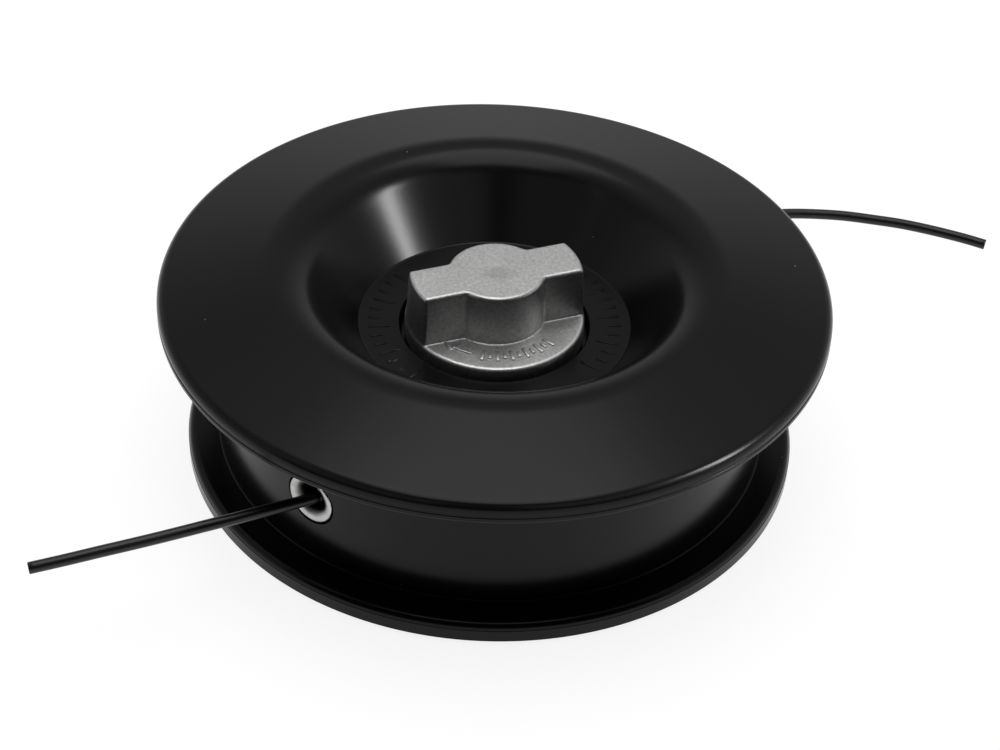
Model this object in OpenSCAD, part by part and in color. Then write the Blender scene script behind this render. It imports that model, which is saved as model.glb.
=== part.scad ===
// Manual line head of a string trimmer: a hub between two flanges, with a reel of line inside.
// The knob side is up. The origin is the centre of the face that the gearbox-side flange rests on.
// Heights build up from that face through the reel, so the cover always closes on what it clamps.

/* [Cover] */
// Diameter of the ground-side flange
cover_d = 140.8; // [136:0.2:150]
// Height of the rim band under the sharp corner of the outer face
cover_rim_h = 4.1; // [3.8:0.1:5.2]
// Edge radius at the top of the rim
cover_edge_r = 2.2; // [1.6:0.1:2.4]
// Slope of the outer face in degrees
cover_slope = 12; // [10:1:14]
// Diameter of the highest circle of the crown
crown_d = 92.2; // [90:0.2:95]
// Radius of the crown's shoulder
crown_r = 10; // [9:0.1:11]
// Depth from the crown down to the ring round the knob
dish_depth = 15.5; // [14.5:0.5:17]
// Slope of the dish wall in degrees
dish_slope = 51; // [49:1:54]
// Wall thickness of the cover
cover_wall = 2.4; // [2:0.1:2.6]
// Thickness of the well's floor
well_floor_t = 3; // [2.4:0.1:3.6]
// Number of stiffening ribs under the dish
cover_ribs = 8; // [4:1:12]
// Height of the raised marks on the ring
ring_mark_h = 0.25; // [0.2:0.05:0.6]

/* [Housing] */
// Diameter of the hub wall
hub_d = 117.6; // [117.2:0.2:119]
// Thickness of the hub wall
hub_wall = 3; // [2.4:0.1:3.4]
// Diameter of the gearbox-side flange
flange_d = 131.2; // [126:0.2:134]
// Thickness of the gearbox-side flange
flange_t = 5.5; // [5:0.1:6.5]
// Radius of the flange's rounded lip
lip_r = 1.6; // [1.2:0.1:2.4]
// Chamfer round the foot of the flange
flange_chamfer = 1.2; // [0.4:0.1:1.6]
// Fillet between the flange and the hub wall
hub_fillet_r = 0.8; // [0.4:0.1:2]
// Depth of the recess under the floor
under_recess = 2.6; // [2:0.1:3]
// Thickness of the floor
floor_t = 2.4; // [2:0.1:3.2]
// Diameter of the centre boss that the reel turns on
boss_d = 28; // [27:0.5:29]
// Wall of the boss above its web
boss_wall = 3; // [2.5:0.1:3.2]
// Thickness of the web that the arbor pulls against
boss_web_t = 3.5; // [3:0.1:4]
// Number of ribs under the floor
floor_ribs = 8; // [4:1:12]

/* [Eyelets] */
// Direction of the rear eyelet, in degrees from +X
eyelet_turn = 53.7; // [53.5:0.1:54.3]
// How far the eyelets lie above the middle of the reel
eyelet_lift = 3.5; // [3.3:0.1:3.7]
// Diameter of the flared mouth
eyelet_d = 10.9; // [10.4:0.1:11.2]
// Diameter of the throat that the line runs through
eyelet_throat_d = 5.6; // [5.4:0.1:6]
// Wall of the eyelet's tube
eyelet_wall = 1; // [0.8:0.1:1.2]
// Gap between the mouth and the recess round it
eyelet_gap = 0.4; // [0.2:0.1:0.6]

/* [Reel and line] */
// Diameter of the cutting line
line_d = 2.4; // [2:0.1:2.7]
// Height of the reel
spool_h = 21.7; // [21:0.1:22.5]
// Diameter of the reel's two outer flanges
spool_flange_d = 98; // [94:1:99]
// Diameter of the divider between the two channels
divider_d = 87; // [85:0.5:88]
// Outer diameter of the stored line
winding_d = 84.4; // [70:0.2:84.4]
// Thickness of the reel's flanges
spool_flange_t = 1.6; // [1.4:0.1:2]
// Depth of the face that the cover clamps, below the reel's top
clamp_depth = 4.6; // [4.2:0.1:5]
// Thickness of the reel's web and walls
spool_wall = 2.4; // [2:0.1:2.8]
// Thickness of the lower grip washer
grip_lower_t = 0.9; // [0.6:0.1:1.5]
// Thickness of the upper grip washer
grip_upper_t = 1; // [0.6:0.1:1.5]

/* [Arbor] */
// Nominal diameter of both left-hand threads
thread_d = 10; // [9.5:0.1:10.5]
// Thread pitch
thread_pitch = 1.25; // [1:0.05:1.5]
// Depth of the threaded hole for the gearbox shaft
socket_depth = 13; // [11:0.5:13]
// Width of the arbor's hex across its flats
hex_w = 17; // [16:0.5:19]
// Height of the hex
hex_h = 11.4; // [10.5:0.1:12]
// Diameter of the shank above the hex
shank_d = 12; // [11.8:0.1:12.6]
// How far the arbor's face lies above the rest face
arbor_recess = 0.6; // [0.3:0.1:1]

/* [Knob] */
// Diameter of the knob's round foot
knob_d = 38; // [37:0.5:38.5]
// Height of the foot
knob_foot_h = 4.3; // [4:0.1:5]
// Height of the whole knob
knob_h = 15.7; // [15:0.1:17]
// Width of the wing across its top
wing_w = 10.8; // [10:0.1:12]
// Direction of the wing when the knob is tight, in degrees from +X
wing_turn = 22; // [0:1:180]
// Diameter of the round boss in the middle of the wing
wing_boss_d = 20.2; // [19:0.1:21.5]
// Edge radius of the casting
cast_edge_r = 0.9; // [0.6:0.1:1.1]
// Draft of the casting's side faces in degrees
draft = 2; // [1:0.5:2.5]
// Gap between the knob and its well
knob_gap = 1.1; // [0.8:0.1:1.4]
// Length of the knob's thread insert
insert_h = 12; // [11.8:0.1:12.2]
// Thickness of the washer under the knob
washer_t = 1.2; // [1:0.1:1.6]

/* [Hidden] */
$fn = 96;

// Clearances between pieces
join_gap = 0.2;
running_gap = 0.05;
clamp_gap = 0.2;
reel_gap = 0.5;
cup_gap = 1.1;
hex_gap = 0.1;
shank_gap = 0.1;
clip_gap = 0.05;
washer_gap = 0.5;
line_gap = 0.3;

// How far a cut runs past a face, and how far a raised mark is sunk into one
overrun = 1;
sunk = 0.2;

// Heights along the axis, from the rest face up
floor_top = under_recess + floor_t;
spool_z = floor_top + grip_lower_t;
spool_top = spool_z + spool_h;
hub_face_z = spool_top - clamp_depth;
cup_z = hub_face_z + grip_upper_t;
well_floor_z = cup_z + well_floor_t;
ring_z = spool_top + reel_gap + cover_wall;
crown_z = ring_z + dish_depth;
eyelet_z = spool_z + spool_h / 2 + eyelet_lift;
washer_z = well_floor_z;
knob_z = washer_z + washer_t;
foot_top = knob_z + knob_foot_h;
knob_top = knob_z + knob_h;

// Radii of the cover, and the centre and tangent points of its crown
cover_r = cover_d / 2;
knob_r = knob_d / 2;
well_r = knob_r + knob_gap;
cup_r = well_r + cover_wall;
crown_x = crown_d / 2;
crown_y = crown_z - crown_r;
function crown_point(inset, angle) =
    [crown_x + (crown_r - inset) * sin(angle), crown_y + (crown_r - inset) * cos(angle)];
function face_height(x, inset) =
    crown_point(inset, cover_slope)[1] - (x - crown_point(inset, cover_slope)[0]) * tan(cover_slope);
function dish_foot(inset) =
    crown_point(inset, -dish_slope)[0]
    - (crown_point(inset, -dish_slope)[1] - ring_z + inset) / tan(dish_slope);
seat_z = face_height(cover_r, 0) - cover_rim_h;
edge_x = cover_r - cover_edge_r;
edge_y = face_height(edge_x, cover_edge_r);
stud_hole_gap = 1.5;
web_hole_r = thread_d / 2 + stud_hole_gap;

// Tongue and groove where the cover closes on the hub wall
hub_r = hub_d / 2;
hub_in_r = hub_r - hub_wall;
groove_h = 3.5;
hub_top = seat_z + groove_h - join_gap;
groove_in_r = hub_in_r - join_gap;
groove_out_r = hub_r + join_gap;
spigot_in_r = groove_in_r - cover_wall;
spigot_z = ring_z - cover_wall + reel_gap;
seat_lip_r = groove_out_r + cover_wall;
rib_t = 1.8;
rib_z = spigot_z + join_gap;
key_w = 6;
key_depth = 2;

// Rim band: a fine groove above a low bead
band_groove_depth = 0.4;
band_groove_h = 0.5;
band_bead_h = 1.3;

// Raised marks on the ring: two fans of ticks, left and right of the knob
tick_w = 0.6;
tick_step = 7;
tick_count = 13;
tick_margin = 2;
tick_in_r = well_r + tick_margin;
tick_out_r = dish_foot(0) - tick_margin;
tick_short = 0.55;
fan_turns = [8, 188];

// Housing
flange_r = flange_d / 2;
boss_r = boss_d / 2;
boss_top = hub_face_z - clamp_gap;
boss_in_r = boss_r - boss_wall;
hex_top = arbor_recess + hex_h;
web_top = hex_top + boss_web_t;
shank_r = shank_d / 2;
lip_step = 0.1;
lip_x = flange_r - lip_step - lip_r;
rim_land = 2.4;

// Eyelets: u runs outward from the axis of the head
throat_r = eyelet_throat_d / 2;
mouth_r = eyelet_d / 2;
mouth_edge_r = 0.4;
crest_r = mouth_r - mouth_edge_r;
flare_r = crest_r - throat_r;
mouth_u = hub_r;
flare_u = mouth_u - flare_r;
tube_r = throat_r + eyelet_wall;
curl_r = 0.8;
curl_u = hub_in_r - line_gap;
eyelet_recess_r = mouth_r + eyelet_gap;

// Reel
core_in_r = cup_r + cup_gap;
core_r = core_in_r + spool_wall;
spool_flange_r = spool_flange_d / 2;
divider_t = 1.5;
channel_h = (spool_h - 2 * spool_flange_t - divider_t) / 2;
lower_channel_z = spool_z + spool_flange_t;
divider_z = lower_channel_z + channel_h;
upper_channel_z = divider_z + divider_t;
spool_bore_r = boss_r + running_gap;
bore_wall = 3;
bore_wall_r = spool_bore_r + bore_wall;
spool_ribs = 6;
rib_foot_gap = 0.6;
rib_span = core_in_r - bore_wall_r + 2 * overrun;
anchor_turn = 30;
anchor_hole_d = line_d + 2 * line_gap;
notch_w = line_d + 2 * line_gap;
notch_depth = 4;
grip_in_r = boss_r + washer_gap;
grip_out_r = cup_r - washer_gap;

// Arbor and its clip. The socket is drawn at the thread's minor radius, and ends in the drill's cone
minor_share = 0.54;
socket_r = thread_d / 2 - minor_share * thread_pitch;
mouth_chamfer = 0.2;
socket_mouth_r = thread_d / 2 + mouth_chamfer;
socket_land_r = 0.5;
drill_slope = 30;
socket_tip = (socket_r - socket_land_r) * tan(drill_slope);
clip_t = 1.1;
clip_z = web_top + shank_gap;
clip_groove_depth = 1;
clip_groove_r = shank_r - clip_groove_depth;
clip_stand = 3.2;
clip_r = shank_r + clip_stand;
clip_opening = 50;
shank_land = 1.2;
shank_top = clip_z + clip_t + shank_land;
stud_r = thread_d / 2;
stud_short = 0.6;
stud_top = knob_z + insert_h - stud_short;
stud_chamfer = 1;

// Knob
insert_wall = 2;
insert_r = thread_d / 2 + insert_wall;
insert_bore_r = stud_r + running_gap;
foot_step = 0.8;
wing_end_r = knob_r - foot_step;
wing_boss_r = wing_boss_d / 2;
foot_edge_r = 0.7;
pocket_depth = 1.8;
pocket_wall = 2.5;
pocket_in_r = insert_r + pocket_wall;
pocket_out_r = knob_r - pocket_wall;
washer_in_r = stud_r + washer_gap;
washer_r = knob_r - foot_step;
mark_h = 0.3;
mark_r = (wing_boss_r + knob_r) / 2;
arrow_w = 0.7;
arrow_head = 3;
arrow_span = 16;
scale_ticks = 11;
scale_step = 6;
scale_long = 3.2;
scale_short = 1.8;

// Routes of the line. A lead runs from its winding to the eyelet, and the free stretch goes on outward.
lead_front_points = [
    [-5.1, -43.7, 13.4], [-10.1, -43.6, 13.9], [-15.1, -43.5, 15.3], [-20, -43.4, 17],
    [-24.5, -43.4, 18.6], [-27.5, -43.6, 19.4], [-29.5, -44.2, 19.9], [-31.3, -45.2, 20.3],
    [-33.3, -46.4, 20.3],
];
lead_rear_points = [
    [9.6, 42.7, 20.2], [13.4, 41.9, 20.2], [17.3, 41.4, 20.2], [21.1, 41.1, 20.2],
    [24.7, 41.1, 20.3], [27.9, 41.5, 20.3], [30.5, 42.4, 20.3], [32.2, 43.9, 20.3],
    [33.7, 45.9, 20.3],
];
line_front_points = [
    [-33.3, -46.4, 20.3], [-35.3, -47.6, 20.3], [-39.7, -49.7, 20.3], [-44.5, -51.9, 20.3],
    [-49.2, -54, 20.2], [-53.8, -56.1, 20.2], [-60.5, -59.1, 20.1], [-67, -61.9, 20],
    [-73.6, -64.4, 19.7], [-80.1, -66.8, 19.3], [-86.7, -69, 18.8],
];
line_rear_points = [
    [33.7, 45.9, 20.3], [35.2, 47.9, 20.3], [37.8, 50.6, 20.1], [41.2, 53.1, 19.6],
    [45.1, 55.3, 19], [49.2, 57.2, 18.4], [53.4, 59, 17.9], [57.2, 60.7, 17.7],
    [62.5, 63, 17.6], [68, 64.5, 17.4], [74.4, 65.2, 17.2], [81.6, 65.3, 17],
    [88.7, 64.7, 16.7], [95.8, 63.8, 16.4], [102.8, 62.3, 16], [109.8, 60.3, 15.6],
    [114.9, 58.6, 15.2],
];
line_sides = 8;

// A ring of rectangular section, from its lower face at z
module ring(inner, outer, z, height) {
    translate([0, 0, z])
        difference() {
            cylinder(r = outer, h = height);
            translate([0, 0, -overrun])
                cylinder(r = inner, h = height + 2 * overrun);
        }
}

// The same rectangle as a half profile, for a turned solid
module band(inner, outer, low, high) {
    translate([inner, low])
        square([outer - inner, high - low]);
}

module disc_at(x, y, radius) {
    translate([x, y])
        circle(r = radius);
}

// A closed tube along a list of points, with square ends
module tube(points, radius, sides) {
    last = len(points) - 1;
    function unit(v) = v / norm(v);
    function heading(i) = unit(points[min(i + 1, last)] - points[max(i - 1, 0)]);
    function sideways(i) = unit(cross([0, 0, 1], heading(i)));
    function ring_point(i, a) =
        points[i] + radius * (cos(a) * sideways(i) + sin(a) * cross(heading(i), sideways(i)));
    function next(j) = (j + 1) % sides;
    vertices = [for (i = [0:last], j = [0:sides - 1]) ring_point(i, j * 360 / sides)];
    walls = [
        for (i = [0:last - 1], j = [0:sides - 1], half = [0, 1])
            half == 0
            ? [i * sides + j, (i + 1) * sides + j, i * sides + next(j)]
            : [i * sides + next(j), (i + 1) * sides + j, (i + 1) * sides + next(j)]
    ];
    start_cap = [for (j = [1:sides - 2]) [0, j, j + 1]];
    end_cap = [for (j = [1:sides - 2]) [last * sides, last * sides + j + 1, last * sides + j]];
    polyhedron(vertices, concat(walls, start_cap, end_cap));
}

// Everything below the cover's outer face, down to its seat
module cover_outside() {
    polygon([
        [web_hole_r, cup_z],
        [web_hole_r, ring_z],
        [dish_foot(0), ring_z],
        crown_point(0, -dish_slope),
        crown_point(0, cover_slope),
        [edge_x + cover_edge_r * sin(cover_slope), edge_y + cover_edge_r * cos(cover_slope)],
        [cover_r, edge_y],
        [cover_r, seat_z],
        [spigot_in_r, seat_z],
        [spigot_in_r, cup_z],
    ]);
    intersection() {
        disc_at(crown_x, crown_y, crown_r);
        band(0, edge_x, seat_z + overrun, crown_z + overrun);
    }
    disc_at(edge_x, edge_y, cover_edge_r);
}

// The hollow between the knob's well and the spigot
module cover_hollow() {
    round_end = (crown_point(cover_wall, cover_slope)[0] + spigot_in_r) / 2;
    polygon([
        [cup_r, cup_z - overrun],
        [cup_r, ring_z - cover_wall],
        [dish_foot(cover_wall), ring_z - cover_wall],
        crown_point(cover_wall, -dish_slope),
        crown_point(cover_wall, cover_slope),
        [spigot_in_r, face_height(spigot_in_r, cover_wall)],
        [spigot_in_r, cup_z - overrun],
    ]);
    intersection() {
        disc_at(crown_x, crown_y, crown_r - cover_wall);
        band(0, round_end, cup_z, crown_z);
    }
}

// The shallow hollow under the flange, between the seat's lip and the rim
module flange_hollow() {
    rim_in_r = cover_r - cover_wall;
    polygon([
        [seat_lip_r, seat_z - overrun],
        [rim_in_r, seat_z - overrun],
        [rim_in_r, face_height(rim_in_r, cover_wall)],
        [seat_lip_r, face_height(seat_lip_r, cover_wall)],
    ]);
}

module cover_profile() {
    difference() {
        cover_outside();
        cover_hollow();
        flange_hollow();
        band(0, well_r, well_floor_z, ring_z + overrun);
        band(groove_in_r, groove_out_r, seat_z - overrun, seat_z + groove_h);
        translate([cover_r - band_groove_depth, seat_z + band_bead_h])
            square([band_groove_depth + overrun, band_groove_h]);
    }
    band(spigot_in_r, groove_in_r, spigot_z, seat_z + overrun);
}

// One stiffening rib, from the well to the spigot
module cover_rib() {
    middle = cover_wall / 2;
    rotate([90, 0, 0])
        linear_extrude(rib_t, center = true)
            polygon([
                [cup_r - middle, rib_z],
                [cup_r - middle, ring_z - middle],
                [dish_foot(middle), ring_z - middle],
                crown_point(middle, -dish_slope),
                crown_point(middle, 0),
                crown_point(middle, cover_slope),
                [spigot_in_r + middle, face_height(spigot_in_r + middle, middle)],
                [spigot_in_r + middle, rib_z],
            ]);
}

// Ticks in a fan: every third one is long
module ring_marks() {
    for (turn = fan_turns, i = [0:tick_count - 1]) {
        span = tick_out_r - tick_in_r;
        length = i % 3 == 0 ? span : span * tick_short;
        rotate([0, 0, turn + (i - (tick_count - 1) / 2) * tick_step])
            translate([tick_out_r - length, -tick_w / 2, ring_z - sunk])
                cube([length, tick_w, ring_mark_h + sunk]);
    }
}

module cover() {
    color("#1a1a1b") {
        difference() {
            union() {
                rotate_extrude()
                    cover_profile();
                for (i = [0:cover_ribs - 1])
                    rotate([0, 0, (i + 0.5) * 360 / cover_ribs])
                        cover_rib();
            }
            for (turn = [90, 270])
                rotate([0, 0, eyelet_turn + turn])
                    translate([spigot_in_r - overrun, -key_w / 2, spigot_z - overrun])
                        cube([hub_wall + cover_wall, key_w, seat_z + groove_h - spigot_z + overrun]);
        }
        ring_marks();
    }
}

module housing_profile() {
    difference() {
        union() {
            band(shank_r + shank_gap, hub_r, under_recess, floor_top);
            band(hub_in_r, hub_r, 0, hub_top);
            band(shank_r + shank_gap, boss_r, arbor_recess, boss_top);
            polygon([
                [hub_in_r, 0],
                [flange_r - flange_chamfer, 0],
                [flange_r, flange_chamfer],
                [flange_r, flange_t - lip_r],
                [flange_r - lip_step, flange_t - lip_r],
                [lip_x, flange_t],
                [hub_in_r, flange_t],
            ]);
            disc_at(lip_x, flange_t - lip_r, lip_r);
            difference() {
                band(hub_r - overrun, hub_r + hub_fillet_r, flange_t - overrun, flange_t + hub_fillet_r);
                disc_at(hub_r + hub_fillet_r, flange_t + hub_fillet_r, hub_fillet_r);
            }
        }
        band(hub_r, flange_r - rim_land, -overrun, flange_t - floor_t);
        band(0, boss_in_r, web_top, boss_top + overrun);
    }
}

// A hole for an eyelet: the tube's bore, and the recess round the flared mouth
module eyelet_hole() {
    translate([0, 0, eyelet_z])
        rotate([0, 90, 0]) {
            translate([0, 0, hub_in_r - overrun])
                cylinder(r = tube_r, h = hub_wall + 2 * overrun);
            translate([0, 0, flare_u])
                cylinder(r = eyelet_recess_r, h = flare_r + overrun);
        }
}

module housing() {
    color("#19191a")
        difference() {
            union() {
                rotate_extrude()
                    housing_profile();
                for (i = [0:floor_ribs - 1])
                    rotate([0, 0, i * 360 / floor_ribs])
                        translate([boss_r - overrun, -rib_t / 2, arbor_recess])
                            cube([hub_in_r - boss_r + 2 * overrun, rib_t, under_recess]);
                for (turn = [90, 270])
                    rotate([0, 0, eyelet_turn + turn])
                        translate([hub_in_r - key_depth, join_gap - key_w / 2, spigot_z + overrun])
                            cube([key_depth + overrun, key_w - 2 * join_gap, hub_top - spigot_z - overrun]);
            }
            translate([0, 0, -overrun])
                rotate([0, 0, 30])
                    cylinder(d = (hex_w + 2 * hex_gap) / cos(30), h = hex_top + overrun, $fn = 6);
            for (turn = [0, 180])
                rotate([0, 0, eyelet_turn + turn])
                    eyelet_hole();
        }
}

// The eyelet stands with its mouth up; the wing of the curl grips the inside of the wall
module eyelet_profile() {
    intersection() {
        disc_at(crest_r, flare_u, flare_r);
        band(throat_r, crest_r, flare_u, mouth_u);
    }
    band(crest_r, mouth_r, flare_u, mouth_u - mouth_edge_r);
    intersection() {
        disc_at(crest_r, mouth_u - mouth_edge_r, mouth_edge_r);
        band(crest_r, mouth_r, flare_u, mouth_u);
    }
    band(throat_r, tube_r, curl_u, flare_u);
    intersection() {
        disc_at(tube_r, curl_u, eyelet_wall);
        band(throat_r, tube_r + curl_r, curl_u - eyelet_wall, curl_u);
    }
}

module eyelet(turn) {
    color("#c4c4c0")
        rotate([0, 0, turn])
            translate([0, 0, eyelet_z])
                rotate([0, 90, 0])
                    rotate_extrude()
                        eyelet_profile();
}

module eyelet_front() {
    eyelet(eyelet_turn + 180);
}

module eyelet_rear() {
    eyelet(eyelet_turn);
}

module spool() {
    color("#262627")
        difference() {
            union() {
                rotate_extrude() {
                    band(spool_bore_r, bore_wall_r, spool_z, hub_face_z);
                    band(bore_wall_r - overrun, core_r, hub_face_z - spool_wall, hub_face_z);
                    band(core_in_r, core_r, spool_z, spool_top);
                    band(core_in_r, spool_flange_r, spool_z, lower_channel_z);
                    band(core_in_r, divider_d / 2, divider_z, upper_channel_z);
                    band(core_in_r, spool_flange_r, upper_channel_z + channel_h, spool_top);
                }
                for (i = [0:spool_ribs - 1])
                    rotate([0, 0, i * 360 / spool_ribs])
                        translate([bore_wall_r - overrun, -rib_t / 2, spool_z + rib_foot_gap])
                            cube([rib_span, rib_t, hub_face_z - spool_z - rib_foot_gap - overrun]);
            }
            for (side = [0, 1])
                rotate([0, 0, anchor_turn + 180 * side])
                    translate([0, 0, line_d + (side == 0 ? lower_channel_z : upper_channel_z)])
                        rotate([0, 90, 0])
                            translate([0, 0, core_in_r - overrun])
                                cylinder(d = anchor_hole_d, h = spool_wall + 2 * overrun);
            for (turn = [0, 180])
                rotate([0, 0, turn])
                    translate([spool_flange_r - notch_depth, -notch_w / 2, spool_z - overrun])
                        cube([notch_depth + overrun, notch_w, spool_h + 2 * overrun]);
        }
}

module line_winding_lower() {
    color("#202021")
        ring(core_r, winding_d / 2, lower_channel_z, channel_h);
}

module line_winding_upper() {
    color("#202021")
        ring(core_r, winding_d / 2, upper_channel_z, channel_h);
}

module friction_washer_lower() {
    color("#7a6a4c")
        ring(grip_in_r, grip_out_r, floor_top, grip_lower_t);
}

module friction_washer_upper() {
    color("#7a6a4c")
        ring(grip_in_r, grip_out_r, hub_face_z, grip_upper_t);
}

module arbor() {
    color("#8f9296")
        difference() {
            union() {
                intersection() {
                    translate([0, 0, arbor_recess])
                        rotate([0, 0, 30])
                            cylinder(d = hex_w / cos(30), h = hex_h, $fn = 6);
                    rotate_extrude()
                        polygon([
                            [0, arbor_recess],
                            [hex_w / 2, arbor_recess],
                            [hex_w / 2 / cos(30), arbor_recess + overrun],
                            [hex_w / 2 / cos(30), hex_top],
                            [0, hex_top],
                        ]);
                }
                rotate_extrude()
                    polygon([
                        [0, hex_top - overrun],
                        [shank_r, hex_top - overrun],
                        [shank_r, clip_z - clip_gap],
                        [clip_groove_r, clip_z - clip_gap],
                        [clip_groove_r, clip_z + clip_t + clip_gap],
                        [shank_r, clip_z + clip_t + clip_gap],
                        [shank_r, shank_top],
                        [stud_r, shank_top],
                        [stud_r, stud_top - stud_chamfer],
                        [stud_r - stud_chamfer, stud_top],
                        [0, stud_top],
                    ]);
            }
            rotate_extrude()
                polygon([
                    [0, arbor_recess - overrun],
                    [socket_mouth_r, arbor_recess - overrun],
                    [socket_mouth_r, arbor_recess],
                    [socket_r, arbor_recess + socket_mouth_r - socket_r],
                    [socket_r, arbor_recess + socket_depth],
                    [socket_land_r, arbor_recess + socket_depth + socket_tip],
                    [0, arbor_recess + socket_depth + socket_tip],
                ]);
        }
}

module arbor_clip() {
    color("#4c4f54")
        difference() {
            ring(clip_groove_r, clip_r, clip_z, clip_t);
            rotate([0, 0, -clip_opening / 2])
                translate([0, 0, clip_z - overrun])
                    rotate_extrude(angle = clip_opening)
                        square([clip_r + overrun, clip_t + 2 * overrun]);
        }
}

module line_lead_front() {
    color("#111112")
        tube(lead_front_points, line_d / 2, line_sides);
}

module line_lead_rear() {
    color("#111112")
        tube(lead_rear_points, line_d / 2, line_sides);
}

module cutting_line_front() {
    color("#111112")
        tube(line_front_points, line_d / 2, line_sides);
}

module cutting_line_rear() {
    color("#111112")
        tube(line_rear_points, line_d / 2, line_sides);
}

module thrust_washer() {
    color("#9b9da0")
        ring(washer_in_r, washer_r, washer_z, washer_t);
}

// Half profile of a turned casting that leans in with height and has a rounded top edge
module cast_profile(low_r, top_r, low, high, edge) {
    polygon([
        [0, low],
        [low_r, low],
        [top_r, high - edge],
        [top_r - edge, high],
        [0, high],
    ]);
    disc_at(top_r - edge, high - edge, edge);
}

// Cross-section of the wing, across its length
module wing_section() {
    lean = (knob_h - knob_foot_h) * tan(draft);
    half = wing_w / 2;
    polygon([
        [-half - lean, foot_top - sunk],
        [half + lean, foot_top - sunk],
        [half, knob_top - cast_edge_r],
        [half - cast_edge_r, knob_top],
        [cast_edge_r - half, knob_top],
        [-half, knob_top - cast_edge_r],
    ]);
    for (side = [-1, 1])
        disc_at(side * (half - cast_edge_r), knob_top - cast_edge_r, cast_edge_r);
}

module wing() {
    intersection() {
        rotate([90, 0, 90])
            linear_extrude(knob_d, center = true)
                wing_section();
        rotate_extrude()
            cast_profile(knob_r, wing_end_r, knob_z, knob_top, cast_edge_r);
    }
}

// A curved arrow for the loosening direction, and a scale of ticks in front of it
module knob_marks() {
    arrow_start = -scale_step * (scale_ticks / 2 + 1);
    translate([0, 0, foot_top - sunk]) {
        for (i = [0:scale_ticks - 1]) {
            length = i % 2 == 0 ? scale_long : scale_short;
            rotate([0, 0, arrow_start + scale_step * (i + 1.5)])
                translate([mark_r - length / 2, -arrow_w / 2, 0])
                    cube([length, arrow_w, mark_h + sunk]);
        }
        rotate([0, 0, arrow_start - arrow_span])
            rotate_extrude(angle = arrow_span)
                translate([mark_r - arrow_w / 2, 0])
                    square([arrow_w, mark_h + sunk]);
        rotate([0, 0, arrow_start - arrow_span])
            linear_extrude(mark_h + sunk)
                polygon([
                    [mark_r - arrow_head / 2, 0],
                    [mark_r + arrow_head / 2, 0],
                    [mark_r, -arrow_head],
                ]);
    }
}

module knob() {
    lean = (knob_h - knob_foot_h) * tan(draft);
    color("#b4b4b2")
        difference() {
            rotate([0, 0, wing_turn])
                union() {
                    rotate_extrude()
                        cast_profile(knob_r, knob_r, knob_z, foot_top, foot_edge_r);
                    rotate_extrude()
                        cast_profile(wing_boss_r + lean, wing_boss_r, foot_top - sunk, knob_top, cast_edge_r);
                    wing();
                    for (side = [-90, 90])
                        rotate([0, 0, side])
                            knob_marks();
                }
            translate([0, 0, knob_z - overrun])
                cylinder(r = insert_r, h = insert_h + overrun);
            ring(pocket_in_r, pocket_out_r, knob_z - overrun, pocket_depth + overrun);
        }
}

module knob_insert() {
    color("#85888c")
        ring(insert_bore_r, insert_r, knob_z, insert_h);
}

housing();
cover();
spool();
line_winding_lower();
line_winding_upper();
friction_washer_lower();
friction_washer_upper();
arbor();
arbor_clip();
eyelet_front();
eyelet_rear();
line_lead_front();
line_lead_rear();
cutting_line_front();
cutting_line_rear();
thrust_washer();
knob();
knob_insert();
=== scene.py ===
import math

import bmesh
import bpy
import numpy as np
from mathutils import Matrix, Vector


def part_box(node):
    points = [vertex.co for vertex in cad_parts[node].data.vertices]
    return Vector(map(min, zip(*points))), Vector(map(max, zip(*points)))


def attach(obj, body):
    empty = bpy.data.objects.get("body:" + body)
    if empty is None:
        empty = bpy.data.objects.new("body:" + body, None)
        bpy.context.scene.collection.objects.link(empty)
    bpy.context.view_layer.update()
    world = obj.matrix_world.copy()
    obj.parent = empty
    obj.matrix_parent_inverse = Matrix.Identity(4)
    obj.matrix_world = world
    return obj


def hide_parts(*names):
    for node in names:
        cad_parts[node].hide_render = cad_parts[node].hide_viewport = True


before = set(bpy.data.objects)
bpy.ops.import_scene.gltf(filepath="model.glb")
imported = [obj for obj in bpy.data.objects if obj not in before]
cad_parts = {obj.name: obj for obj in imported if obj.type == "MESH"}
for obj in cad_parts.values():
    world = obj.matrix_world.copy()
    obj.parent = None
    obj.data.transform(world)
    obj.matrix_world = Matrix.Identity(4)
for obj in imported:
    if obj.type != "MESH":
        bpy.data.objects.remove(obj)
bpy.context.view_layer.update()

MM = 0.001


# ---- Camera -----------------------------------------------------------------
# The head stands on a table, and is seen from a little over arm's length, looking down
# at it at 39 degrees with the knob side up.
CAMERA_PLACE = (0.0017, -0.37736, 0.31908)
CAMERA_RIGHT = (0.99895, 0.02862, 0.03564)
CAMERA_UP = (-0.04571, 0.62551, 0.77886)
SENSOR_WIDTH = 36
FOCAL_LENGTH = 80.68


def placed(name, data):
    """A new object in the scene."""
    made = bpy.data.objects.new(name, data)
    bpy.context.scene.collection.objects.link(made)
    return made


def aim_camera():
    right = Vector(CAMERA_RIGHT).normalized()
    up = Vector(CAMERA_UP)
    up = (up - right * right.dot(up)).normalized()
    away = right.cross(up)
    lens = bpy.data.cameras.new("camera")
    lens.sensor_width = SENSOR_WIDTH
    lens.lens = FOCAL_LENGTH
    lens.clip_start = 0.02
    lens.clip_end = 100
    camera = placed("camera", lens)
    turn = Matrix((right, up, away)).transposed().to_4x4()
    camera.matrix_world = Matrix.Translation(CAMERA_PLACE) @ turn
    bpy.context.scene.camera = camera


aim_camera()


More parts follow.
